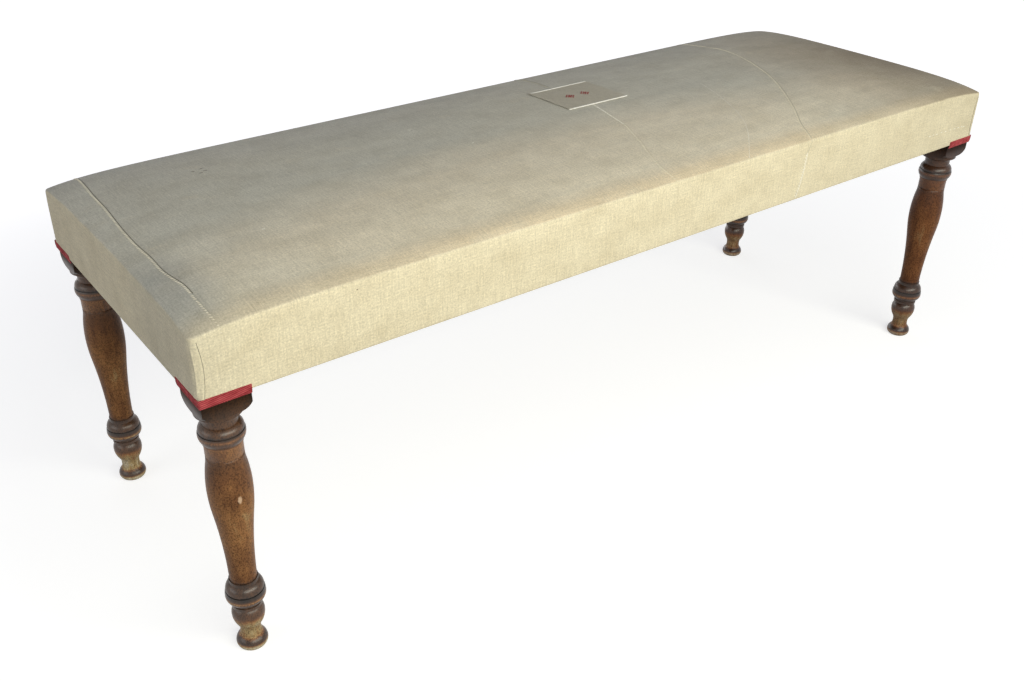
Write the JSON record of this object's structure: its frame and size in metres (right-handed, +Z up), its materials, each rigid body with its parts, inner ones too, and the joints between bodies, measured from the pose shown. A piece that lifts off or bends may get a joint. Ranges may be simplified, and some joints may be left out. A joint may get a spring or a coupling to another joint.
{
  "type": "upholstered bench",
  "caption": "Long bench with a crowned, linen-covered seat on turned wooden legs, built as a pegged rail frame with webbing, stuffing layers, a sewn patch and braid at the leg heads.",
  "frame": {"origin": "on the floor, under the middle of the seat", "axes": "+X along the length to the right as seen from the front, -Y to the front, +Z up"},
  "size_m": [1.302, 0.452, 0.461],
  "materials": {
    "walnut": "waxed, worn",
    "beech": "bare, sawn",
    "screw_steel": "dull, oxidised",
    "webbing": "jute, coarse weave",
    "hessian": "open jute weave",
    "hair": "curled hair",
    "wadding": "soft cotton felt",
    "calico": "plain weave",
    "linen": "old hemp linen, plain weave",
    "patch_linen": "fine plain weave",
    "braid": "crimson herringbone braid"
  },
  "bodies": {
    "root": {"leg_front_left": "walnut", "leg_front_right": "walnut", "leg_back_left": "walnut", "leg_back_right": "walnut", "rail_front": "beech", "rail_back": "beech", "rail_left": "beech", "rail_right": "beech", "cross_rail_left": "beech", "cross_rail_right": "beech", "corner_block_front_left": "beech", "corner_block_front_right": "beech", "corner_block_back_left": "beech", "corner_block_back_right": "beech", "tenon_pegs": "beech", "corner_block_screws": "screw_steel", "webbing_long_straps": "webbing", "webbing_cross_straps": "webbing", "hessian_base": "hessian", "hair_stuffing": "hair", "cotton_wadding": "wadding", "calico_undercover": "calico", "linen_cover": "linen", "sewn_patch": "patch_linen", "braid_front_left": "braid", "braid_front_right": "braid", "braid_back_left": "braid", "braid_back_right": "braid"}
  },
  "joints": []
}
